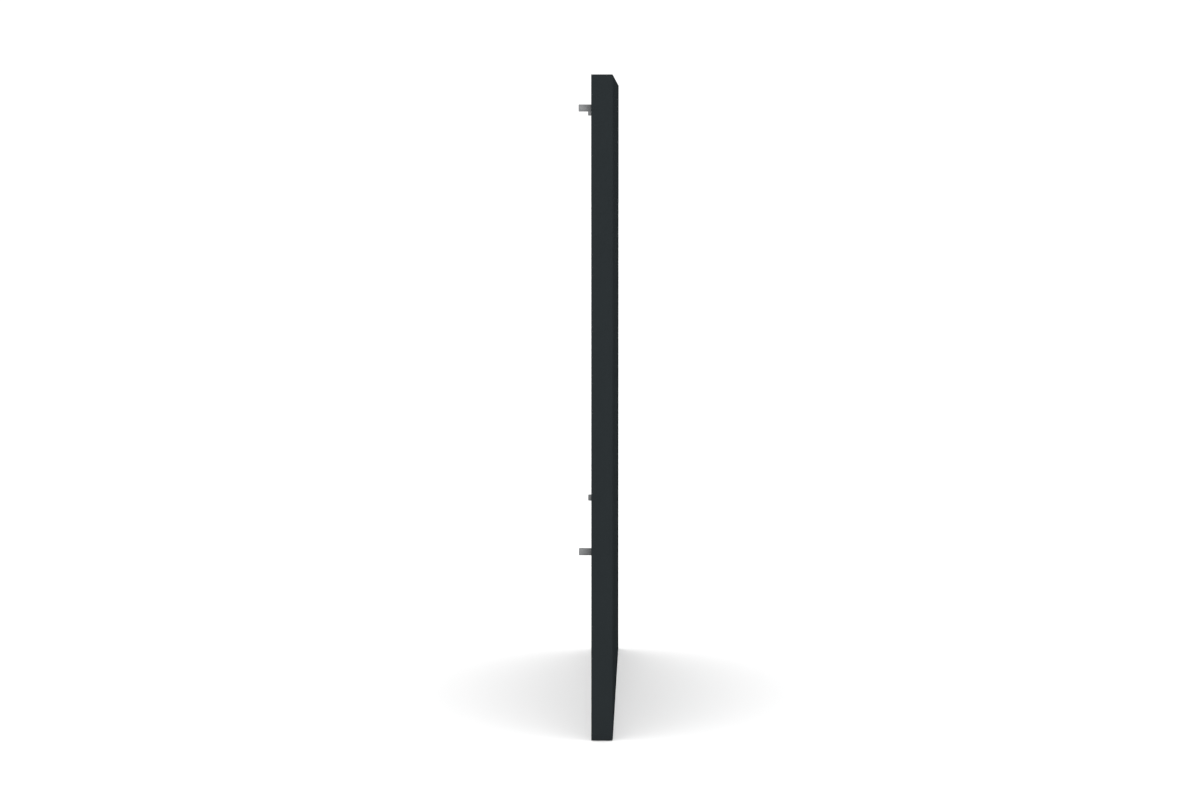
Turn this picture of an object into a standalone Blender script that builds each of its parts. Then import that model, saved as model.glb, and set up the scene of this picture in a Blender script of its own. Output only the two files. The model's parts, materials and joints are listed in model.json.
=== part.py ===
"""A free-standing fireplace screen: a folded sheet-steel panel with four stand-off lugs on its back.

Metres, +Z up. The panel stands on z = 0, its front faces -Y, and the lugs point to +Y. Depths are measured from the
front face towards the back. The origin is at the middle of the bottom of the whole screen, lugs included.
"""

import math

import bmesh
import bpy
from mathutils import Matrix, Vector

# Outer sizes
HEIGHT = 0.770
WIDTH = 0.626
THICKNESS = 0.025
EDGE_RADIUS = 0.0014
FIT_GAP = 0.0003

# Sheet and section thicknesses
SKIN = 0.0012
COVER_SHEET = 0.001
SECTION_SHEET = 0.0012

# Stand-off lugs
LUG_PROTRUSION = 0.0154
LUG_HEIGHT = 0.0081
LUG_WIDTH = 0.0055
LUG_INSET = 0.047
LUG_LEVELS = {"upper": 0.7324, "lower": 0.2148}
LUG_SLOT_GAP = 0.0005
PLATE_SIZE = (0.044, 0.002, 0.018)
PLATE_SCREW_OFFSET = 0.015

# Rear cover, with a raised field pressed into its sheet, and its screws
COVER_RECESS = 0.0024
COVER_SIDE_GAP = 0.0004
COVER_CORNER = 0.002
FIELD_INSET = 0.068
FIELD_RISE = 0.0014
FIELD_FLANK = 0.004
FIELD_CORNER = 0.024
CORNER_STEPS = 6
COVER_SCREW_INSET = 0.0105
SIDE_SCREW_HEIGHTS = (0.205, 0.385, 0.565)

# Inner frame
CHANNEL_FLANGE = 0.016
RAIL_DEPTH = 0.0152
RAIL_HALF_WEB = 0.011
RAIL_HALF_FOOT = 0.019
BOARD_THICKNESS = 0.014
BOARD_GAP = 0.001

# Screws and nuts: shank radius, head radius, head height, shank length
COVER_SCREW = (0.0019, 0.0036, 0.0019, 0.007)
PLATE_SCREW = (0.0015, 0.0028, 0.0016, 0.0078)
HOLE_CLEARANCE = 0.0004
NUT_ACROSS_FLATS = 0.0055
NUT_HEIGHT = 0.0024
NUT_THREAD_GAP = 0.0003
ROUND_SEGMENTS = 16

# Foot pads, let into the bottom return
PAD_SIZE = (0.080, 0.017, 0.0026)
PAD_STAND = 0.0005
PAD_INSET = 0.060

# Worked out from the sizes above
FRONT = -(THICKNESS + LUG_PROTRUSION) / 2
BOTTOM = PAD_STAND
SKIN_INSIDE = SKIN + FIT_GAP
COVER_OUTSIDE = THICKNESS - COVER_RECESS
COVER_INSIDE = COVER_OUTSIDE - COVER_SHEET
CHANNEL_BACK = COVER_INSIDE - FIT_GAP
RAIL_BACK = SKIN_INSIDE + RAIL_DEPTH
LUG_X = WIDTH / 2 - LUG_INSET - LUG_WIDTH / 2
SIDES = {"left": -1, "right": 1}


def depth(distance):
    """The y of a point this far behind the front face."""
    return FRONT + distance


def clear_scene():
    for obj in list(bpy.data.objects):
        bpy.data.objects.remove(obj)


def make_material(name, colour, metallic, roughness):
    material = bpy.data.materials.new(name)
    material.use_nodes = True
    shader = material.node_tree.nodes["Principled BSDF"]
    shader.inputs["Base Color"].default_value = (*colour, 1.0)
    shader.inputs["Metallic"].default_value = metallic
    shader.inputs["Roughness"].default_value = roughness
    material.diffuse_color = (*colour, 1.0)
    return material


def make_materials():
    return {
        "coat": make_material("anthracite_coat", (0.025, 0.031, 0.034), 0.0, 0.5),
        "shield": make_material("shield_paint", (0.022, 0.023, 0.024), 0.0, 0.4),
        "zinc": make_material("zinc_plate", (0.24, 0.245, 0.25), 0.6, 0.45),
        "galvanised": make_material("galvanised_sheet", (0.42, 0.43, 0.44), 0.9, 0.42),
        "board": make_material("insulation_board", (0.72, 0.69, 0.62), 0.0, 0.95),
        "screw": make_material("screw_steel", (0.12, 0.12, 0.125), 0.9, 0.35),
        "rubber": make_material("foot_rubber", (0.02, 0.02, 0.02), 0.0, 0.8),
    }


def mesh_from(name, shape):
    """Ends a bmesh: turns its faces outwards and stores it as a mesh."""
    bmesh.ops.recalc_face_normals(shape, faces=shape.faces)
    mesh = bpy.data.meshes.new(name)
    shape.to_mesh(mesh)
    shape.free()
    return mesh


def place(name, mesh, material, location, rotation=None, parent=None):
    """A new object that shows a mesh at a place."""
    if material and not mesh.materials:
        mesh.materials.append(material)
    obj = bpy.data.objects.new(name, mesh)
    bpy.context.scene.collection.objects.link(obj)
    obj.location = location
    if rotation:
        obj.rotation_euler = rotation
    obj.parent = parent
    return obj


def block_mesh(name, size, bevel=0.0):
    """A box about its own centre, with its edges rounded by two facets if bevel is given."""
    shape = bmesh.new()
    bmesh.ops.create_cube(shape, size=1.0, matrix=Matrix.Diagonal((*size, 1.0)))
    if bevel:
        bmesh.ops.bevel(shape, geom=shape.edges[:], offset=bevel, segments=2, profile=0.5, affect="EDGES")
    return mesh_from(name, shape)


def rounded_outline(half_wide, half_tall, radius):
    """(x, z) points round a rectangle with round corners, counter-clockwise from its right side."""
    points = []
    for quarter, (across, up) in enumerate(((1, 1), (-1, 1), (-1, -1), (1, -1))):
        for step in range(CORNER_STEPS + 1):
            angle = (quarter + step / CORNER_STEPS) * math.pi / 2
            x = across * (half_wide - radius) + radius * math.cos(angle)
            z = up * (half_tall - radius) + radius * math.sin(angle)
            points.append((x, z))
    return points


def pressed_sheet_mesh(name, wide, tall):
    """The cover's sheet about its own centre: a flat border round a field that is pressed towards +Y."""
    loops = [
        (0.0, 0.0, COVER_CORNER),
        (FIELD_INSET, 0.0, FIELD_CORNER + FIELD_FLANK),
        (FIELD_INSET + FIELD_FLANK, FIELD_RISE, FIELD_CORNER),
    ]
    shape = bmesh.new()
    sides = []
    for face_y in (-COVER_SHEET / 2, COVER_SHEET / 2):
        rings = []
        for inset, rise, radius in loops:
            outline = rounded_outline(wide / 2 - inset, tall / 2 - inset, radius)
            rings.append([shape.verts.new((x, face_y + rise, z)) for x, z in outline])
        sides.append(rings)
    inner, outer = sides
    for first, second in (inner[:2], inner[1:], outer[:2], outer[1:], (inner[0], outer[0])):
        for this in range(len(first)):
            after = (this + 1) % len(first)
            shape.faces.new((first[this], first[after], second[after], second[this]))
    shape.faces.new(inner[-1])
    shape.faces.new(outer[-1])
    return mesh_from(name, shape)


def section_mesh(name, outline, length):
    """A flat outline in the mesh's own XY, drawn out along its own Z and centred on it."""
    shape = bmesh.new()
    corners = [shape.verts.new((x, y, -length / 2)) for x, y in outline]
    face = shape.faces.new(corners)
    drawn = bmesh.ops.extrude_face_region(shape, geom=[face])
    moved = [item for item in drawn["geom"] if isinstance(item, bmesh.types.BMVert)]
    bmesh.ops.translate(shape, verts=moved, vec=(0, 0, length))
    return mesh_from(name, shape)


def turned_mesh(name, profile, segments=ROUND_SEGMENTS):
    """A solid turned about its own Z from (radius, height) points that start and end on the axis."""
    shape = bmesh.new()
    points = [shape.verts.new((radius, 0, height)) for radius, height in profile]
    edges = [shape.edges.new(pair) for pair in zip(points, points[1:])]
    bmesh.ops.spin(shape, geom=points + edges, axis=(0, 0, 1), cent=(0, 0, 0), steps=segments, angle=math.tau)
    bmesh.ops.remove_doubles(shape, verts=shape.verts, dist=1e-6)
    mesh = mesh_from(name, shape)
    mesh.shade_smooth()
    mesh.set_sharp_from_angle(angle=math.radians(35))
    return mesh


def cutter_mesh(name, pieces):
    """One mesh of several separate closed shapes, each a function that adds itself to a bmesh."""
    shape = bmesh.new()
    for add in pieces:
        add(shape)
    return mesh_from(name, shape)


def hole_along_y(x, z, near, far, radius):
    """Adds a round cutter that runs along Y between two depths."""
    turn = Matrix.Rotation(math.radians(90), 4, "X")
    centre = Matrix.Translation((x, depth((near + far) / 2), z))

    def add(shape):
        bmesh.ops.create_cone(
            shape,
            cap_ends=True,
            segments=ROUND_SEGMENTS,
            radius1=radius,
            radius2=radius,
            depth=far - near,
            matrix=centre @ turn,
        )

    return add


def slot_block(centre, size):
    """Adds a box-shaped cutter."""

    def add(shape):
        bmesh.ops.create_cube(shape, size=1.0, matrix=Matrix.Translation(centre) @ Matrix.Diagonal((*size, 1.0)))

    return add


def cut(obj, name, pieces):
    """Takes the cutters away from an object with a Boolean modifier."""
    cutter = place(name, cutter_mesh(name, pieces), None, (0, 0, 0))
    cutter.hide_render = True
    cutter.display_type = "WIRE"
    modifier = obj.modifiers.new(name, "BOOLEAN")
    modifier.operation = "DIFFERENCE"
    modifier.solver = "EXACT"
    modifier.object = cutter


def turned_to(across):
    """The rotation that lays a section's own X along world Y and its own Y along this direction."""
    deep = Vector((0, 1, 0))
    across = Vector(across)
    run = deep.cross(across)
    return Matrix((deep, across, run)).transposed().to_euler()


def channel_outline():
    """A U section: its web against the return, one flange to the front and one to the back."""
    deep = CHANNEL_BACK - SKIN_INSIDE
    sheet = SECTION_SHEET
    return [
        (0, 0),
        (deep, 0),
        (deep, CHANNEL_FLANGE),
        (deep - sheet, CHANNEL_FLANGE),
        (deep - sheet, sheet),
        (sheet, sheet),
        (sheet, CHANNEL_FLANGE),
        (0, CHANNEL_FLANGE),
    ]


def hat_outline():
    """A hat section: two feet on the front skin, two walls and a web towards the back."""
    sheet = SECTION_SHEET
    wall = RAIL_HALF_WEB - sheet
    return [
        (0, -RAIL_HALF_FOOT),
        (0, -wall),
        (RAIL_DEPTH - sheet, -wall),
        (RAIL_DEPTH - sheet, wall),
        (0, wall),
        (0, RAIL_HALF_FOOT),
        (sheet, RAIL_HALF_FOOT),
        (sheet, RAIL_HALF_WEB),
        (RAIL_DEPTH, RAIL_HALF_WEB),
        (RAIL_DEPTH, -RAIL_HALF_WEB),
        (sheet, -RAIL_HALF_WEB),
        (sheet, -RAIL_HALF_FOOT),
    ]


def cover_screw_spots():
    """(x, z) of the cover screws: three along the top and the bottom, and three up each side."""
    edge = WIDTH / 2 - COVER_SCREW_INSET
    levels = (BOTTOM + COVER_SCREW_INSET, HEIGHT - COVER_SCREW_INSET)
    spots = [(x, z) for z in levels for x in (-edge, 0.0, edge)]
    spots += [(x, z) for z in SIDE_SCREW_HEIGHTS for x in (-edge, edge)]
    return spots


def lug_spots():
    """(place name, x, z) of the four stand-offs."""
    return [(f"{level}_{side}", SIDES[side] * LUG_X, z) for level, z in LUG_LEVELS.items() for side in SIDES]


def pad_spots():
    return {side: sign * (WIDTH / 2 - PAD_INSET) for side, sign in SIDES.items()}


def make_front_tray(material, parent):
    """The folded front: one skin with four returns, welded at its corners, open at the back."""
    tall = HEIGHT - BOTTOM
    centre = Vector((0, depth(THICKNESS / 2), BOTTOM + tall / 2))
    shape = bmesh.new()
    bmesh.ops.create_cube(shape, size=1.0, matrix=Matrix.Diagonal((WIDTH, THICKNESS, tall, 1.0)))
    back = THICKNESS / 2
    folds = [edge for edge in shape.edges if not all(abs(vert.co.y - back) < 1e-6 for vert in edge.verts)]
    bmesh.ops.bevel(shape, geom=folds, offset=EDGE_RADIUS, segments=3, profile=0.5, affect="EDGES")
    tray = place("front_tray", mesh_from("front_tray", shape), material, centre, parent=parent)
    inside = (WIDTH - 2 * SKIN, THICKNESS, tall - 2 * SKIN)
    cut(tray, "tray_inside", [slot_block(centre + Vector((0, SKIN, 0)), inside)])
    openings = [
        slot_block(
            (x, depth(THICKNESS / 2), BOTTOM),
            (PAD_SIZE[0] + 2 * FIT_GAP, PAD_SIZE[1] + 2 * FIT_GAP, 4 * SKIN),
        )
        for x in pad_spots().values()
    ]
    cut(tray, "pad_openings", openings)


def make_foot_pads(material, parent):
    mesh = block_mesh("foot_pad", PAD_SIZE, bevel=0.0004)
    for side, x in pad_spots().items():
        place(f"{side}_foot_pad", mesh, material, (x, depth(THICKNESS / 2), PAD_SIZE[2] / 2), parent=parent)


def make_rim_channels(material, parent):
    """Four U channels inside the returns. The top and bottom ones run the full width."""
    outline = channel_outline()
    half_width = WIDTH / 2 - SKIN - FIT_GAP
    low = max(BOTTOM + SKIN, PAD_SIZE[2]) + FIT_GAP
    high = HEIGHT - SKIN - FIT_GAP
    middle = (low + high) / 2
    front = depth(SKIN_INSIDE)
    upright = high - low - 2 * (CHANNEL_FLANGE + FIT_GAP)
    runs = {
        "top_channel": ((0, 0, -1), (0, front, high), 2 * half_width),
        "bottom_channel": ((0, 0, 1), (0, front, low), 2 * half_width),
        "left_channel": ((1, 0, 0), (-half_width, front, middle), upright),
        "right_channel": ((-1, 0, 0), (half_width, front, middle), upright),
    }
    holes = [
        hole_along_y(x, z, CHANNEL_BACK - 2 * SECTION_SHEET, COVER_INSIDE, COVER_SCREW[0] + HOLE_CLEARANCE)
        for x, z in cover_screw_spots()
    ]
    for name, (inward, location, length) in runs.items():
        mesh = section_mesh(name, outline, length)
        channel = place(name, mesh, material, location, turned_to(inward), parent)
        cut(channel, f"{name}_holes", holes)
    return low, high


def make_rails(material, parent, low, high):
    """Two cross rails between the side channels, and two stiffeners up the middle."""
    front = depth(SKIN_INSIDE)
    half_run = WIDTH / 2 - SKIN - CHANNEL_FLANGE - 2 * FIT_GAP
    outline = hat_outline()
    bolt_radius = PLATE_SCREW[0] + HOLE_CLEARANCE
    for level, z in LUG_LEVELS.items():
        name = f"{level}_cross_rail"
        rail = place(
            name, section_mesh(name, outline, 2 * half_run), material, (0, front, z), turned_to((0, 0, 1)), parent
        )
        holes = [
            hole_along_y(x + step, z, RAIL_BACK - 2 * SECTION_SHEET, RAIL_BACK + SECTION_SHEET, bolt_radius)
            for x in (-LUG_X, LUG_X)
            for step in (-PLATE_SCREW_OFFSET, PLATE_SCREW_OFFSET)
        ]
        cut(rail, f"{name}_holes", holes)
    spans = {
        "lower": (low + CHANNEL_FLANGE, LUG_LEVELS["lower"] - RAIL_HALF_FOOT),
        "upper": (LUG_LEVELS["lower"] + RAIL_HALF_FOOT, LUG_LEVELS["upper"] - RAIL_HALF_FOOT),
    }
    for level, (start, end) in spans.items():
        name = f"{level}_centre_stiffener"
        length = end - start - 2 * FIT_GAP
        mesh = section_mesh(name, outline, length)
        place(name, mesh, material, (0, front, (start + end) / 2), turned_to((1, 0, 0)), parent)
    return half_run, spans


def make_boards(material, parent, half_run, spans):
    """Insulation boards in the four fields that the rails and stiffeners leave."""
    inner = RAIL_HALF_FOOT + BOARD_GAP
    wide = half_run - inner
    for level, (start, end) in spans.items():
        size = (wide, BOARD_THICKNESS, end - start - 2 * BOARD_GAP)
        mesh = block_mesh(f"{level}_board", size)
        for side, sign in SIDES.items():
            spot = (sign * (inner + wide / 2), depth(SKIN_INSIDE + BOARD_THICKNESS / 2), (start + end) / 2)
            place(f"{level}_{side}_board", mesh, material, spot, parent=parent)


def make_rear_cover(material, parent):
    """The heat shield: a pressed sheet set below the tray's rear edge, with screw holes and lug slots."""
    side = SKIN + COVER_SIDE_GAP
    tall = HEIGHT - BOTTOM
    middle = (COVER_INSIDE + COVER_OUTSIDE) / 2
    mesh = pressed_sheet_mesh("rear_cover", WIDTH - 2 * side, tall - 2 * side)
    cover = place("rear_cover", mesh, material, (0, depth(middle), BOTTOM + tall / 2), parent=parent)
    through = 3 * COVER_SHEET
    radius = COVER_SCREW[0] + HOLE_CLEARANCE
    holes = [hole_along_y(x, z, middle - through, middle + through, radius) for x, z in cover_screw_spots()]
    slot = (LUG_WIDTH + 2 * LUG_SLOT_GAP, 2 * through, LUG_HEIGHT + 2 * LUG_SLOT_GAP)
    slots = [slot_block((x, depth(middle), z), slot) for _, x, z in lug_spots()]
    cut(cover, "cover_openings", holes + slots)


def screw_mesh(name, screw):
    """A low domed head on a plain shank. The head's underside is at z = 0 and the head is towards +Z."""
    shank, head, tall, length = screw
    profile = [
        (0, tall),
        (0.45 * head, 0.95 * tall),
        (0.80 * head, 0.72 * tall),
        (head, 0.30 * tall),
        (head, 0),
        (shank, 0),
        (shank, 0.4 * shank - length),
        (0.6 * shank, -length),
        (0, -length),
    ]
    return turned_mesh(name, profile)


def nut_mesh(name):
    """A hexagon nut with a plain bore, its axis along its own Z."""
    shape = bmesh.new()
    corner = NUT_ACROSS_FLATS / 2 / math.cos(math.pi / 6)
    bore = PLATE_SCREW[0] + NUT_THREAD_GAP
    rings = []
    for height in (-NUT_HEIGHT / 2, NUT_HEIGHT / 2):
        for radius, count in ((corner, 6), (bore, 12)):
            turns = [math.tau * step / count for step in range(count)]
            rings.append([shape.verts.new((radius * math.cos(a), radius * math.sin(a), height)) for a in turns])
    outer_low, bore_low, outer_high, bore_high = rings
    for ring_low, ring_high in ((outer_low, outer_high), (bore_low, bore_high)):
        for this in range(len(ring_low)):
            after = (this + 1) % len(ring_low)
            shape.faces.new((ring_low[this], ring_low[after], ring_high[after], ring_high[this]))
    for outer, inner in ((outer_low, bore_low), (outer_high, bore_high)):
        for this in range(6):
            after = (this + 1) % 6
            here = [inner[2 * this], inner[2 * this + 1], inner[(2 * this + 2) % 12]]
            shape.faces.new((outer[this], outer[after], here[2], here[1], here[0]))
    return mesh_from(name, shape)


def make_cover_screws(material, parent):
    mesh = screw_mesh("cover_screw", COVER_SCREW)
    facing_back = (math.radians(-90), 0, 0)
    for number, (x, z) in enumerate(cover_screw_spots(), start=1):
        spot = (x, depth(COVER_OUTSIDE + FIT_GAP), z)
        place(f"cover_screw_{number:02d}", mesh, material, spot, facing_back, parent)


def make_standoffs(materials, parent):
    """Each lug is a bar on a foot plate, which two screws and nuts hold to a cross rail."""
    plate_front = RAIL_BACK + FIT_GAP
    plate_back = plate_front + PLATE_SIZE[1]
    lug_start = plate_back + FIT_GAP
    lug_length = THICKNESS + LUG_PROTRUSION - lug_start
    lug_mesh = block_mesh("standoff", (LUG_WIDTH, lug_length, LUG_HEIGHT), bevel=0.0003)
    bolt_mesh = screw_mesh("plate_screw", PLATE_SCREW)
    nut = nut_mesh("plate_nut")
    facing_back = (math.radians(-90), 0, 0)
    nut_depth = RAIL_BACK - SECTION_SHEET - FIT_GAP - NUT_HEIGHT / 2
    bolt_radius = PLATE_SCREW[0] + HOLE_CLEARANCE
    for spot, x, z in lug_spots():
        place(f"standoff_{spot}", lug_mesh, materials["zinc"], (x, depth(lug_start + lug_length / 2), z), None, parent)
        name = f"standoff_plate_{spot}"
        plate_centre = (x, depth((plate_front + plate_back) / 2), z)
        plate = place(name, block_mesh(name, PLATE_SIZE), materials["zinc"], plate_centre, None, parent)
        ends = {"a": x - PLATE_SCREW_OFFSET, "b": x + PLATE_SCREW_OFFSET}
        through = PLATE_SIZE[1]
        holes = [hole_along_y(end, z, plate_front - through, plate_back + through, bolt_radius) for end in ends.values()]
        cut(plate, f"{name}_holes", holes)
        for letter, end in ends.items():
            head_seat = (end, depth(plate_back + FIT_GAP), z)
            place(f"plate_screw_{spot}_{letter}", bolt_mesh, materials["screw"], head_seat, facing_back, parent)
            nut_spot = (end, depth(nut_depth), z)
            place(f"plate_nut_{spot}_{letter}", nut, materials["zinc"], nut_spot, facing_back, parent)


def main():
    clear_scene()
    materials = make_materials()
    screen = bpy.data.objects.new("fireplace_screen", None)
    bpy.context.scene.collection.objects.link(screen)
    make_front_tray(materials["coat"], screen)
    make_foot_pads(materials["rubber"], screen)
    low, high = make_rim_channels(materials["galvanised"], screen)
    half_run, spans = make_rails(materials["galvanised"], screen, low, high)
    make_boards(materials["board"], screen, half_run, spans)
    make_rear_cover(materials["shield"], screen)
    make_cover_screws(materials["screw"], screen)
    make_standoffs(materials, screen)


main()
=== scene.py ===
import json
import math

import bmesh
import bpy
import numpy as np
from mathutils import Matrix, Vector

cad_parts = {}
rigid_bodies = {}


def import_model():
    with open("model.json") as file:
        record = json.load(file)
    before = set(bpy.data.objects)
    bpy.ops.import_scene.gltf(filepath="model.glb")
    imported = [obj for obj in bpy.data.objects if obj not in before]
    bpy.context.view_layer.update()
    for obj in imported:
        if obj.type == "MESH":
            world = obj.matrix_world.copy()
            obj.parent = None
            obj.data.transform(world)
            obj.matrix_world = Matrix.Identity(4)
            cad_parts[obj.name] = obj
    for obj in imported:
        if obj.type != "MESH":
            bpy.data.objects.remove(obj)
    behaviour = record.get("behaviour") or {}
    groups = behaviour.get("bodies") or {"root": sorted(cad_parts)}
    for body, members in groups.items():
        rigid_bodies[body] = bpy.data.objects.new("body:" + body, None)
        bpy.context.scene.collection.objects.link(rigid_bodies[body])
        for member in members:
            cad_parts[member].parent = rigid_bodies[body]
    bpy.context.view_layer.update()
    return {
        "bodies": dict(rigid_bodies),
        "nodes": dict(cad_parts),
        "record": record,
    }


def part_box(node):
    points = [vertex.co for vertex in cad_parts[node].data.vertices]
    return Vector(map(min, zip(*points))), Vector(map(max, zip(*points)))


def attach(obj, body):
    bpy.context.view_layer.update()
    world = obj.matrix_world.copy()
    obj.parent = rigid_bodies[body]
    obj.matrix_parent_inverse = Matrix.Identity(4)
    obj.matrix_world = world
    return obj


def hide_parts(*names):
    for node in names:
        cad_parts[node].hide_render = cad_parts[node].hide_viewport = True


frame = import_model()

trayLow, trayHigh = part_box("front_tray")
panelHeight = trayHigh.z
panelWidth = trayHigh.x - trayLow.x
frontFace = trayLow.y
bodyName = list(frame["bodies"])[0]
lugNodes = sorted(name for name in frame["nodes"] if name.startswith("standoff_") and "plate" not in name)
screwNodes = sorted(name for name in frame["nodes"] if name.startswith("cover_screw"))
padNodes = ("left_foot_pad", "right_foot_pad")
print("frame loaded:", len(frame["nodes"]), "nodes on body", bodyName)


# meshes

# every quad between ring i and ring i + 1 of a stack of closed rings, as one array of corner numbers
def ringFaces(ringCount, pointCount):
    ring = np.arange(ringCount - 1)[:, None] * pointCount
    this = np.arange(pointCount)[None, :]
    after = (this + 1) % pointCount
    above = ring + pointCount
    corners = np.stack([ring + this, ring + after, above + after, above + this], axis=-1)
    return corners.reshape(-1, 4)


# a closed skin over a stack of rings (rings, points, 3), with a flat face on its first and on its last ring
def skinOfRings(name, rings, sharpAngle=40):
    ringCount, pointCount = rings.shape[:2]
    faces = ringFaces(ringCount, pointCount).tolist()
    faces.append(list(range(pointCount))[::-1])
    faces.append(list(range((ringCount - 1) * pointCount, ringCount * pointCount)))
    mesh = bpy.data.meshes.new(name)
    mesh.from_pydata(rings.reshape(-1, 3).tolist(), [], faces)
    return finishMesh(name, mesh, sharpAngle)


# puts a mesh into the scene with its faces outwards, smooth but for edges over the given angle
def finishMesh(name, mesh, sharpAngle=40):
    shape = bmesh.new()
    shape.from_mesh(mesh)
    bmesh.ops.recalc_face_normals(shape, faces=shape.faces)
    shape.to_mesh(mesh)
    shape.free()
    mesh.shade_smooth()
    mesh.set_sharp_from_angle(angle=math.radians(sharpAngle))
    piece = bpy.data.objects.new(name, mesh)
    bpy.context.scene.collection.objects.link(piece)
    return piece


# a rectangle's loop with round corners carried along a profile of (inset, y): each profile point gives the
# loop set in by that inset, laid flat at that y; a corner is an arc about a centre set in by the corner
# radius less the inset
def rectangleRings(profile, centre, halfWide, halfTall, cornerRadius, steps=6):
    inset, y = np.array(profile).T[:, :, None]
    radius = np.maximum(cornerRadius - inset, 0.00015)
    quarter = np.linspace(0, math.pi / 2, steps + 1)
    turn = (np.arange(4)[:, None] * math.pi / 2 + quarter).reshape(1, -1)
    signX = np.repeat([1, -1, -1, 1], steps + 1)
    signZ = np.repeat([1, 1, -1, -1], steps + 1)
    x = centre[0] + signX * (halfWide - inset - radius) + radius * np.cos(turn)
    z = centre[1] + signZ * (halfTall - inset - radius) + radius * np.sin(turn)
    return np.stack([x, y + 0 * x, z], axis=-1)


# an arc of (inset, y) points about a centre, from one angle to another in degrees
def arc(centreInset, centreY, radius, start, end, steps=6):
    turn = np.radians(np.linspace(start, end, steps + 1))
    return np.stack([centreInset + radius * np.cos(turn), centreY + radius * np.sin(turn)], axis=-1)


# takes boxes and rods away from a piece with one exact Boolean and keeps the result as its mesh
def cutAway(piece, cutters):
    shape = bmesh.new()
    for kind, centre, size in cutters:
        if kind == "box":
            matrix = Matrix.Translation(centre) @ Matrix.Diagonal((*size, 1.0))
            bmesh.ops.create_cube(shape, size=1.0, matrix=matrix)
        else:
            matrix = Matrix.Translation(centre) @ Matrix.Rotation(math.pi / 2, 4, "X")
            bmesh.ops.create_cone(shape, cap_ends=True, segments=32, radius1=size[0], radius2=size[0],
                                  depth=size[1], matrix=matrix)
    mesh = bpy.data.meshes.new("cutter")
    shape.to_mesh(mesh)
    shape.free()
    cutter = bpy.data.objects.new("cutter", mesh)
    bpy.context.scene.collection.objects.link(cutter)
    modifier = piece.modifiers.new("cut", "BOOLEAN")
    modifier.operation = "DIFFERENCE"
    modifier.solver = "EXACT"
    modifier.object = cutter
    bpy.context.view_layer.update()
    graph = bpy.context.evaluated_depsgraph_get()
    result = bpy.data.meshes.new_from_object(piece.evaluated_get(graph))
    piece.modifiers.clear()
    piece.data = result
    bpy.data.objects.remove(cutter)


# gives a piece its finish and lets it stand for a CAD node
def standFor(piece, slotName, node):
    piece.data.materials.clear()
    piece.data.materials.append(looks[slotName])
    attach(piece, bodyName)
    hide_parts(node)


# materials

def newMaterial(name):
    material = bpy.data.materials.new(name)
    material.use_nodes = True
    tree = material.node_tree
    return material, tree, tree.nodes["Principled BSDF"]


def addNode(tree, kind, settings=None, inputs=None):
    node = tree.nodes.new(kind)
    for key, value in (settings or {}).items():
        setattr(node, key, value)
    for key, value in (inputs or {}).items():
        node.inputs[key].default_value = value
    return node


def objectPoint(tree, scale=(1, 1, 1)):
    coordinate = addNode(tree, "ShaderNodeTexCoord")
    mapping = addNode(tree, "ShaderNodeMapping", inputs={"Scale": scale})
    tree.links.new(coordinate.outputs["Object"], mapping.inputs["Vector"])
    return mapping.outputs["Vector"]


def noise(tree, vector, scale, detail=2.0, roughness=0.5, distortion=0.0):
    node = addNode(tree, "ShaderNodeTexNoise", inputs={
        "Scale": scale, "Detail": detail, "Roughness": roughness, "Distortion": distortion})
    tree.links.new(vector, node.inputs["Vector"])
    return node.outputs["Fac"]


def ramp(tree, value, stops):
    node = addNode(tree, "ShaderNodeValToRGB")
    elements = node.color_ramp.elements
    while len(elements) < len(stops):
        elements.new(0.5)
    for element, (position, colour) in zip(elements, stops):
        element.position = position
        element.color = (*colour, 1.0)
    tree.links.new(value, node.inputs["Fac"])
    return node.outputs["Color"]


def mapRange(tree, value, low, high, toLow, toHigh):
    node = addNode(tree, "ShaderNodeMapRange", inputs={
        "From Min": low, "From Max": high, "To Min": toLow, "To Max": toHigh})
    tree.links.new(value, node.inputs["Value"])
    return node.outputs["Result"]


def mixColour(tree, factor, first, second, blend="MIX"):
    node = addNode(tree, "ShaderNodeMix", {"data_type": "RGBA", "blend_type": blend})
    sockets = {"Factor": node.inputs[0], "A": node.inputs[6], "B": node.inputs[7]}
    for key, value in (("Factor", factor), ("A", first), ("B", second)):
        if isinstance(value, bpy.types.NodeSocket):
            tree.links.new(value, sockets[key])
        elif key == "Factor":
            sockets[key].default_value = value
        else:
            sockets[key].default_value = (*value, 1.0)
    return node.outputs[2]


def bump(tree, shader, height, strength, distance, below=None):
    node = addNode(tree, "ShaderNodeBump", inputs={"Strength": strength, "Distance": distance})
    tree.links.new(height, node.inputs["Height"])
    if below:
        tree.links.new(below, node.inputs["Normal"])
    tree.links.new(node.outputs["Normal"], shader.inputs["Normal"])
    return node.outputs["Normal"]


coatLook = {
    "dark": (0.0166, 0.0201, 0.0217),
    "light": (0.0182, 0.0222, 0.0239),
    "grainScale": 1150,      # grains of the powder, somewhat under a millimetre each
    "metallic": 0.10,        # the share that reflects like dull metal, dark towards its edges
    "roughness": (0.58, 0.76),
}


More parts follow.
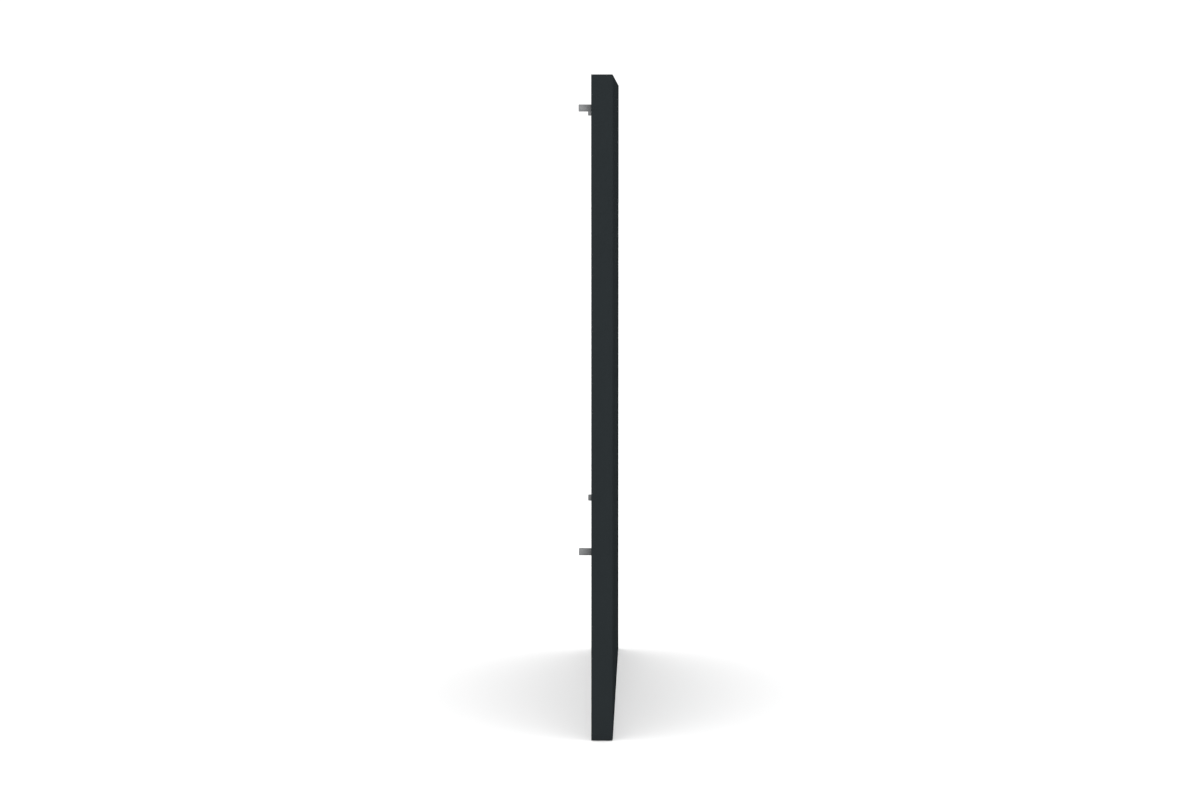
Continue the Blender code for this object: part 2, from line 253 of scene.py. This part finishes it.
def coatMaterial(look):
    material, tree, shader = newMaterial("anthracite_coat")
    vector = objectPoint(tree)
    cloud = noise(tree, vector, 6, 3, 0.55)
    grain = noise(tree, vector, look["grainScale"], 2, 0.6)
    fine = noise(tree, vector, look["grainScale"] * 2.7, 1, 0.5)
    base = mixColour(tree, mapRange(tree, cloud, 0.3, 0.7, 0, 1), look["dark"], look["light"])
    speck = mapRange(tree, grain, 0.3, 0.7, 0.86, 1.14)
    fleck = mapRange(tree, fine, 0.35, 0.75, 0.92, 1.10)
    tinted = mixColour(tree, 1.0, mixColour(tree, 1.0, base, speck, "MULTIPLY"), fleck, "MULTIPLY")
    tree.links.new(tinted, shader.inputs["Base Color"])
    tree.links.new(mapRange(tree, grain, 0.3, 0.7, *look["roughness"]), shader.inputs["Roughness"])
    shader.inputs["Metallic"].default_value = look["metallic"]
    shader.inputs["Specular IOR Level"].default_value = 0.0
    shader.inputs["Specular Tint"].default_value = (0.0, 0.0, 0.0, 1.0)
    first = bump(tree, shader, grain, 0.5, 0.00016)
    bump(tree, shader, fine, 0.25, 0.00004, first)
    return material


shieldLook = {
    "tones": ((0.0175, 0.0180, 0.0185), (0.0235, 0.0240, 0.0245)),
    "roughness": (0.37, 0.46),
    "waveScale": 5.0,        # slow waves of a thin sheet, in waves per metre
    "orangePeel": 320,       # the paint's own ripple
}


def shieldMaterial(look):
    material, tree, shader = newMaterial("shield_paint")
    vector = objectPoint(tree)
    cloud = noise(tree, vector, 11, 4, 0.6)
    peel = noise(tree, vector, look["orangePeel"], 2, 0.5)
    waves = noise(tree, vector, look["waveScale"], 1, 0.4)
    streaks = noise(tree, objectPoint(tree, (90, 90, 7)), 1.0, 4, 0.6)
    base = mixColour(tree, mapRange(tree, cloud, 0.3, 0.7, 0, 1), *look["tones"])
    tree.links.new(base, shader.inputs["Base Color"])
    tree.links.new(mapRange(tree, streaks, 0.3, 0.72, *look["roughness"]), shader.inputs["Roughness"])
    shader.inputs["Specular IOR Level"].default_value = 0.36
    first = bump(tree, shader, waves, 0.25, 0.004)
    bump(tree, shader, peel, 0.10, 0.00012, first)
    return material


sheetLook = {
    "tones": ((0.20, 0.21, 0.215), (0.33, 0.34, 0.35), (0.25, 0.26, 0.27)),
    "spangle": 85,           # crystals per metre, about 12 mm across
    "roughness": (0.38, 0.56),
    "metallic": 0.85,
}


def sheetMaterial(look):
    material, tree, shader = newMaterial("galvanised_sheet")
    vector = objectPoint(tree)
    warp = addNode(tree, "ShaderNodeVectorMath", {"operation": "MULTIPLY_ADD"})
    warpNoise = addNode(tree, "ShaderNodeTexNoise", inputs={"Scale": 60, "Detail": 2.0})
    tree.links.new(vector, warpNoise.inputs["Vector"])
    tree.links.new(warpNoise.outputs["Color"], warp.inputs[0])
    warp.inputs[1].default_value = (0.006, 0.006, 0.006)
    tree.links.new(vector, warp.inputs[2])
    cells = addNode(tree, "ShaderNodeTexVoronoi", inputs={"Scale": look["spangle"], "Randomness": 1.0})
    tree.links.new(warp.outputs["Vector"], cells.inputs["Vector"])
    split = addNode(tree, "ShaderNodeSeparateColor")
    tree.links.new(cells.outputs["Color"], split.inputs["Color"])
    tone = split.outputs["Red"]
    base = ramp(tree, tone, [(0.0, look["tones"][0]), (0.5, look["tones"][2]), (1.0, look["tones"][1])])
    streaks = noise(tree, objectPoint(tree, (260, 260, 6)), 1.0, 3, 0.5)
    cloud = noise(tree, vector, 9, 4, 0.6)
    dirt = mixColour(tree, mapRange(tree, cloud, 0.35, 0.75, 0, 0.35), base, (0.15, 0.15, 0.15))
    lined = mixColour(tree, 1.0, dirt, mapRange(tree, streaks, 0.3, 0.7, 0.93, 1.06), "MULTIPLY")
    tree.links.new(lined, shader.inputs["Base Color"])
    shader.inputs["Metallic"].default_value = look["metallic"]
    roughness = mapRange(tree, split.outputs["Green"], 0, 1, *look["roughness"])
    tree.links.new(roughness, shader.inputs["Roughness"])
    first = bump(tree, shader, split.outputs["Blue"], 0.08, 0.0002)
    bump(tree, shader, noise(tree, vector, 700, 2), 0.12, 0.00005, first)
    return material


zincLook = {
    "tones": ((0.155, 0.159, 0.162), (0.173, 0.177, 0.180)),
    "metallic": 0.45,
    "roughness": (0.42, 0.54),
}


def zincMaterial(look):
    material, tree, shader = newMaterial("zinc_plate")
    vector = objectPoint(tree)
    brushed = noise(tree, objectPoint(tree, (2600, 90, 2600)), 1.0, 4, 0.6)
    cloud = noise(tree, vector, 140, 3, 0.5)
    base = mixColour(tree, mapRange(tree, cloud, 0.3, 0.7, 0, 1), *look["tones"])
    lined = mixColour(tree, 1.0, base, mapRange(tree, brushed, 0.3, 0.7, 0.93, 1.07), "MULTIPLY")
    tree.links.new(lined, shader.inputs["Base Color"])
    shader.inputs["Metallic"].default_value = look["metallic"]
    shader.inputs["Specular IOR Level"].default_value = 0.3
    tree.links.new(mapRange(tree, brushed, 0.3, 0.7, *look["roughness"]), shader.inputs["Roughness"])
    bump(tree, shader, brushed, 0.12, 0.00002)
    return material


screwLook = {"tones": ((0.10, 0.102, 0.106), (0.19, 0.19, 0.195)), "roughness": (0.24, 0.42)}


def screwMaterial(look):
    material, tree, shader = newMaterial("screw_steel")
    vector = objectPoint(tree)
    cloud = noise(tree, vector, 420, 4, 0.6)
    base = mixColour(tree, mapRange(tree, cloud, 0.35, 0.7, 0, 1), *look["tones"])
    tree.links.new(base, shader.inputs["Base Color"])
    shader.inputs["Metallic"].default_value = 0.8
    tree.links.new(mapRange(tree, cloud, 0.3, 0.7, *look["roughness"]), shader.inputs["Roughness"])
    bump(tree, shader, noise(tree, vector, 2400, 2), 0.15, 0.00003)
    return material


boardLook = {"tones": ((0.60, 0.56, 0.47), (0.74, 0.71, 0.63))}


def boardMaterial(look):
    material, tree, shader = newMaterial("insulation_board")
    vector = objectPoint(tree)
    fibres = noise(tree, objectPoint(tree, (900, 900, 120)), 1.0, 4, 0.65, 0.6)
    cloud = noise(tree, vector, 30, 4, 0.6)
    base = mixColour(tree, mapRange(tree, cloud, 0.3, 0.7, 0, 1), *look["tones"])
    lined = mixColour(tree, 1.0, base, mapRange(tree, fibres, 0.3, 0.7, 0.86, 1.08), "MULTIPLY")
    tree.links.new(lined, shader.inputs["Base Color"])
    shader.inputs["Roughness"].default_value = 0.95
    shader.inputs["Specular IOR Level"].default_value = 0.1
    bump(tree, shader, fibres, 0.5, 0.0003)
    return material


rubberLook = {"tones": ((0.012, 0.012, 0.012), (0.022, 0.022, 0.021))}


def rubberMaterial(look):
    material, tree, shader = newMaterial("foot_rubber")
    vector = objectPoint(tree)
    cloud = noise(tree, vector, 220, 3, 0.6)
    base = mixColour(tree, mapRange(tree, cloud, 0.3, 0.7, 0, 1), *look["tones"])
    tree.links.new(base, shader.inputs["Base Color"])
    tree.links.new(mapRange(tree, cloud, 0.3, 0.7, 0.75, 0.9), shader.inputs["Roughness"])
    shader.inputs["Specular IOR Level"].default_value = 0.25
    bump(tree, shader, noise(tree, vector, 1800, 2), 0.4, 0.0001)
    return material


looks = {
    "coat": coatMaterial(coatLook),
    "shield": shieldMaterial(shieldLook),
    "galvanised": sheetMaterial(sheetLook),
    "zinc": zincMaterial(zincLook),
    "screw": screwMaterial(screwLook),
    "board": boardMaterial(boardLook),
    "rubber": rubberMaterial(rubberLook),
}
for row in frame["record"]["subparts"]:
    nodeMesh = frame["nodes"][row["node"]].data
    nodeMesh.materials.clear()
    nodeMesh.materials.append(looks[row["material_slot"]])
print("materials made:", ", ".join(looks))


# the folded front: one sheet whose section is carried round the panel's outline

trayShape = {
    "sheet": 0.0012,
    "foldRadius": 0.0014,
    "edgeRadius": 0.0004,
    "support": 0.0005,       # width of the flat strip beside each fold that keeps the shading flat
    "padGap": 0.0003,
}


# the section runs over the face, round the fold, along the return, over its rear edge and back inside
def trayProfile(shape):
    sheet, fold, edge, strip = shape["sheet"], shape["foldRadius"], shape["edgeRadius"], shape["support"]
    front, back = frontFace, trayHigh.y
    inner = fold - sheet
    return np.concatenate([
        [(fold + 20 * strip, front), (fold + strip, front)],
        arc(fold, front + fold, fold, -90, -180, 8),
        [(0, front + fold + strip), (0, back - edge - strip)],
        arc(edge, back - edge, edge, 180, 90, 4),
        arc(sheet - edge, back - edge, edge, 90, 0, 4),
        [(sheet, back - edge - strip), (sheet, front + fold + strip)],
        arc(sheet + inner, front + sheet + inner, inner, 180, 270, 4),
        [(sheet + inner + strip, front + sheet), (sheet + inner + 20 * strip, front + sheet)],
    ])


def makeTray(shape):
    middleZ = (trayLow.z + trayHigh.z) / 2
    rings = rectangleRings(trayProfile(shape), (0, middleZ), panelWidth / 2, (trayHigh.z - trayLow.z) / 2,
                           shape["foldRadius"], 8)
    tray = skinOfRings("front_panel", rings, 50)
    cutters = []
    for node in padNodes:
        low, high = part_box(node)
        size = high - low
        centre = (low + high) / 2
        gap = 2 * shape["padGap"]
        cutters.append(("box", (centre.x, centre.y, trayLow.z), (size.x + gap, size.y + gap, 0.004)))
    cutAway(tray, cutters)
    return tray


standFor(makeTray(trayShape), "coat", "front_tray")
print("front panel folded")


# the rear cover: a sheet with a raised field, slots for the lugs and holes for the screws

coverShape = {
    "sheet": 0.001,
    "fieldInset": 0.068,
    "flank": 0.005,
    "fieldCorner": 0.028,
    "rise": 0.0014,
    "coarse": 0.02,
    "fine": 0.0007,
    "slotGap": 0.0005,
    "holeRadius": 0.0023,
}


# grid lines along one side: coarse steps, finer through the corner zone, finest over the flank
def gridLines(half, shape):
    edge = half - shape["fieldInset"]
    corner = edge - shape["fieldCorner"]
    lines = np.concatenate([
        np.arange(0, corner, shape["coarse"]),
        np.arange(corner, edge - 1.5 * shape["flank"], 0.002),
        np.arange(edge - 1.5 * shape["flank"], edge + 0.5 * shape["flank"], shape["fine"]),
        np.linspace(edge + 0.5 * shape["flank"], half, 6),
    ])
    return np.unique(np.round(np.concatenate([-lines, lines]), 6))


# the height over the border: the distance inside a rectangle with round corners, eased from 0 to the rise
# over the flank by the curve 3t^2 - 2t^3
def fieldRise(x, z, halfWide, halfTall, shape):
    corner = shape["fieldCorner"]
    qx = np.abs(x) - (halfWide - shape["fieldInset"] - corner)
    qz = np.abs(z) - (halfTall - shape["fieldInset"] - corner)
    outside = np.hypot(np.maximum(qx, 0), np.maximum(qz, 0)) + np.minimum(np.maximum(qx, qz), 0)
    inside = corner - outside
    t = np.clip(inside / shape["flank"], 0, 1)
    return shape["rise"] * t * t * (3 - 2 * t)


def makeCover(shape):
    low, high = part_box("rear_cover")
    halfWide, halfTall = (high.x - low.x) / 2, (high.z - low.z) / 2
    middleZ = (low.z + high.z) / 2
    xs, zs = gridLines(halfWide, shape), gridLines(halfTall, shape)
    x, z = np.meshgrid(xs, zs, indexing="ij")
    rise = fieldRise(x, z, halfWide, halfTall, shape)
    back = np.stack([x, low.y + rise, z + middleZ], axis=-1).reshape(-1, 3)
    points = np.concatenate([back, back + (0, shape["sheet"], 0)])
    wide, tall = len(xs), len(zs)
    i, j = np.meshgrid(np.arange(wide - 1), np.arange(tall - 1), indexing="ij")
    a = (i * tall + j).reshape(-1)
    inner = np.stack([a, a + tall, a + tall + 1, a + 1], axis=-1)
    outer = inner[:, ::-1] + wide * tall
    border = np.concatenate([
        np.arange(wide) * tall,
        (wide - 1) * tall + np.arange(1, tall),
        np.arange(wide - 2, -1, -1) * tall + tall - 1,
        np.arange(tall - 2, 0, -1),
    ])
    following = np.roll(border, -1)
    rim = np.stack([following, border, border + wide * tall, following + wide * tall], axis=-1)
    mesh = bpy.data.meshes.new("rear_heat_shield")
    mesh.from_pydata(points.tolist(), [], np.concatenate([inner, outer, rim]).tolist())
    cover = finishMesh("rear_heat_shield", mesh, 30)
    cutters = []
    for name in screwNodes:
        screwLow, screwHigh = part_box(name)
        centre = (screwLow + screwHigh) / 2
        cutters.append(("rod", (centre.x, low.y, centre.z), (shape["holeRadius"], 0.01)))
    for name in lugNodes:
        lugLow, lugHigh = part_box(name)
        centre = (lugLow + lugHigh) / 2
        size = lugHigh - lugLow
        gap = 2 * shape["slotGap"]
        cutters.append(("box", (centre.x, low.y, centre.z), (size.x + gap, 0.01, size.z + gap)))
    cutAway(cover, cutters)
    return cover


standFor(makeCover(coverShape), "shield", "rear_cover")
print("rear cover pressed")


# the lugs: a bar's loop carried along its length, with a rounded tip

lugShape = {"corner": 0.0007, "tip": 0.0006}


def makeLug(node, shape):
    low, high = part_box(node)
    tip = shape["tip"]
    profile = np.concatenate([
        [(0.0004, low.y), (0, low.y + 0.0004), (0, high.y - tip - 0.001)],
        arc(tip, high.y - tip, tip, 180, 90, 5),
        [(tip + 0.0004, high.y)],
    ])
    centre = ((low.x + high.x) / 2, (low.z + high.z) / 2)
    rings = rectangleRings(profile, centre, (high.x - low.x) / 2, (high.z - low.z) / 2, shape["corner"], 5)
    return skinOfRings(f"lug_{node[9:]}", rings, 50)


for node in lugNodes:
    standFor(makeLug(node, lugShape), "zinc", node)
print("lugs made:", len(lugNodes))


# the cover screws: a turned head whose hexagon socket is a radius that depends on the angle

screwShape = {
    "headRadius": 0.0036,
    "headHeight": 0.0019,
    "shankRadius": 0.0019,
    "shankLength": 0.007,
    "socket": 0.00125,       # half across flats
    "socketDepth": 0.0011,
    "points": 48,
}


# (radius, height, share of hexagon) from the shank's end, under the head, over the dome and down the socket
def screwProfile(shape):
    head, tall = shape["headRadius"], shape["headHeight"]
    shank, length = shape["shankRadius"], shape["shankLength"]
    socket, socketFloor = shape["socket"], tall - shape["socketDepth"]
    dome = np.radians(np.linspace(8, 66, 9))
    domeRadius = head * np.cos(dome) / math.cos(dome[0])
    rise = (np.sin(dome) - math.sin(dome[0])) / (math.sin(dome[-1]) - math.sin(dome[0]))
    domeHeight = 0.0004 + (tall - 0.0004) * rise
    rows = [(0.6 * shank, -length, 0), (shank, 0.4 * shank - length, 0), (shank, 0, 0)]
    rows += [(head - 0.0002, 0, 0), (head, 0.0002, 0)]
    rows += [(r, h, 0) for r, h in zip(domeRadius, domeHeight)]
    rows += [(socket * 1.12, tall, 1), (socket, tall - 0.00015, 1), (socket, socketFloor, 1)]
    rows += [(0.3 * socket, socketFloor - 0.0003, 0)]
    return np.array(rows)


def makeScrew(name, node, turn, shape):
    low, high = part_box(node)
    x, z = (low.x + high.x) / 2, (low.z + high.z) / 2
    seat = low.y + shape["shankLength"]
    angle = np.linspace(0, 2 * math.pi, shape["points"], endpoint=False)
    # a hexagon's radius over its half width
    flat = 1 / np.cos((angle + math.pi / 6) % (math.pi / 3) - math.pi / 6)
    radius, height, hexagon = screwProfile(shape).T[:, :, None]
    reach = radius * (1 + hexagon * (flat[None, :] - 1))
    rings = np.stack([
        x + reach * np.cos(angle + turn),
        seat + height + 0 * reach,
        z + reach * np.sin(angle + turn),
    ], axis=-1)
    return skinOfRings(name, rings, 35)


for number, node in enumerate(screwNodes, start=1):
    screw = makeScrew(f"shield_screw_{number:02d}", node, math.radians(37 * number), screwShape)
    standFor(screw, "screw", node)
print("screws turned:", len(screwNodes))


# the foot pads: a ribbed section carried along the pad, narrowed at both ends to round its upright corners

padShape = {
    "ribs": 5,
    "groove": 0.0008,        # how deep the grooves between the ribs are
    "topEdge": 0.0005,
    "corner": 0.0025,
    "samples": 81,
}


# the underside is the groove's depth times a cosine across the pad, cut off flat on the ribs and in the
# grooves
def padSection(halfDeep, tall, shape):
    across = np.linspace(-1, 1, shape["samples"])
    wave = np.clip(0.5 + 1.3 * np.cos(math.pi * (shape["ribs"] - 1) * across), 0, 1)
    foot = np.stack([across * halfDeep, shape["groove"] * (1 - wave)], axis=-1)
    edge = shape["topEdge"]
    right = arc(halfDeep - edge, tall - edge, edge, 0, 90, 3)
    left = right[::-1] * (-1, 1)
    return np.concatenate([foot, right, left])


def makePad(node, shape):
    low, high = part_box(node)
    halfLong, halfDeep = (high.x - low.x) / 2, (high.y - low.y) / 2
    section = padSection(halfDeep, high.z - low.z, shape)
    corner = shape["corner"]
    turn = np.linspace(0, math.pi / 2, 7)
    along = halfLong - corner * (1 - np.sin(turn))
    narrowed = 1 - corner * (1 - np.cos(turn)) / halfDeep
    along = np.concatenate([-along[::-1], along])[:, None]
    narrowed = np.concatenate([narrowed[::-1], narrowed])[:, None]
    y = (low.y + high.y) / 2 + narrowed * section[:, 0]
    rings = np.stack([(low.x + high.x) / 2 + along + 0 * y, y, low.z + section[:, 1] + 0 * y], axis=-1)
    return skinOfRings(f"{node}_rubber", rings, 50)


for node in padNodes:
    standFor(makePad(node, padShape), "rubber", node)
print("foot pads made:", len(padNodes))


# floor, lights and camera

roomShape = {
    "floorSide": 60.0,
    "floorColour": (0.93, 0.93, 0.93),
    "skyBase": 0.67,         # the dome's strength at the horizon
    "skyTop": 1.43,          # what it gains on the way to the zenith
    "skyPower": 2.0,
    "sideLight": (4.6, 0.6, 1.5, 62),    # distance, width, height, watts
}


def makeRoom(shape):
    half = shape["floorSide"] / 2
    mesh = bpy.data.meshes.new("floor")
    corners = [(-half, -half, 0), (half, -half, 0), (half, half, 0), (-half, half, 0)]
    mesh.from_pydata(corners, [], [(0, 1, 2, 3)])
    floor = bpy.data.objects.new("floor", mesh)
    bpy.context.scene.collection.objects.link(floor)
    material, tree, shader = newMaterial("pale_floor")
    shader.inputs["Base Color"].default_value = (*shape["floorColour"], 1.0)
    shader.inputs["Roughness"].default_value = 0.9
    shader.inputs["Specular IOR Level"].default_value = 0.0
    mesh.materials.append(material)

    makeDome(shape)
    distance, wide, tall, power = shape["sideLight"]
    side = areaLight("side_light", wide, tall, power)
    side.location = (-distance, 0.03, 0.1 + tall / 2)
    side.rotation_euler = (Vector((0, 0, 0.4)) - side.location).to_track_quat("-Z", "Y").to_euler()


# a white dome whose strength is base + top * height^power; the camera itself sees it as a plain white wall
def makeDome(shape):
    world = bpy.data.worlds.new("studio")
    world.use_nodes = True
    tree = world.node_tree
    background = tree.nodes["Background"]
    coordinate = addNode(tree, "ShaderNodeTexCoord")
    axes = addNode(tree, "ShaderNodeSeparateXYZ")
    tree.links.new(coordinate.outputs["Generated"], axes.inputs["Vector"])
    height = addNode(tree, "ShaderNodeMath", {"operation": "MAXIMUM"})
    tree.links.new(axes.outputs["Z"], height.inputs[0])
    height.inputs[1].default_value = 0.0
    power = addNode(tree, "ShaderNodeMath", {"operation": "POWER"})
    tree.links.new(height.outputs[0], power.inputs[0])
    power.inputs[1].default_value = shape["skyPower"]
    strength = mapRange(tree, power.outputs[0], 0, 1, shape["skyBase"], shape["skyBase"] + shape["skyTop"])
    seen = addNode(tree, "ShaderNodeLightPath")
    choice = addNode(tree, "ShaderNodeMix", {"data_type": "FLOAT"})
    tree.links.new(seen.outputs["Is Camera Ray"], choice.inputs[0])
    tree.links.new(strength, choice.inputs[2])
    choice.inputs[3].default_value = 1.1
    tree.links.new(choice.outputs[0], background.inputs["Strength"])
    background.inputs["Color"].default_value = (1.0, 1.0, 1.0, 1.0)
    bpy.context.scene.world = world


def areaLight(name, wide, tall, power):
    data = bpy.data.lights.new(name, "AREA")
    data.shape = "RECTANGLE"
    data.size = wide
    data.size_y = tall
    data.energy = power
    light = bpy.data.objects.new(name, data)
    bpy.context.scene.collection.objects.link(light)
    light.visible_camera = False
    return light


makeRoom(roomShape)

cameraShape = {
    "lens": 88.08,
    "distance": 4.367,       # from the near side, in panel heights
    "aside": 0.053,          # in front of the front face, in panel heights
    "level": 0.9003,         # over the floor, in panel heights
    "pitch": 5.022,          # downwards
    "yaw": 0.949,            # towards the back
}


def makeCamera(shape):
    data = bpy.data.cameras.new("camera")
    data.lens = shape["lens"]
    data.sensor_width = 36
    data.clip_end = 100
    camera = bpy.data.objects.new("camera", data)
    bpy.context.scene.collection.objects.link(camera)
    camera.location = (
        trayLow.x - shape["distance"] * panelHeight,
        frontFace - shape["aside"] * panelHeight,
        shape["level"] * panelHeight,
    )
    pitch, yaw = math.radians(shape["pitch"]), math.radians(shape["yaw"])
    ahead = Vector((math.cos(pitch) * math.cos(yaw), math.cos(pitch) * math.sin(yaw), -math.sin(pitch)))
    camera.rotation_euler = ahead.to_track_quat("-Z", "Y").to_euler()
    bpy.context.scene.camera = camera


makeCamera(cameraShape)
bpy.context.scene.view_settings.view_transform = "Standard"
print("room, lights and camera set")
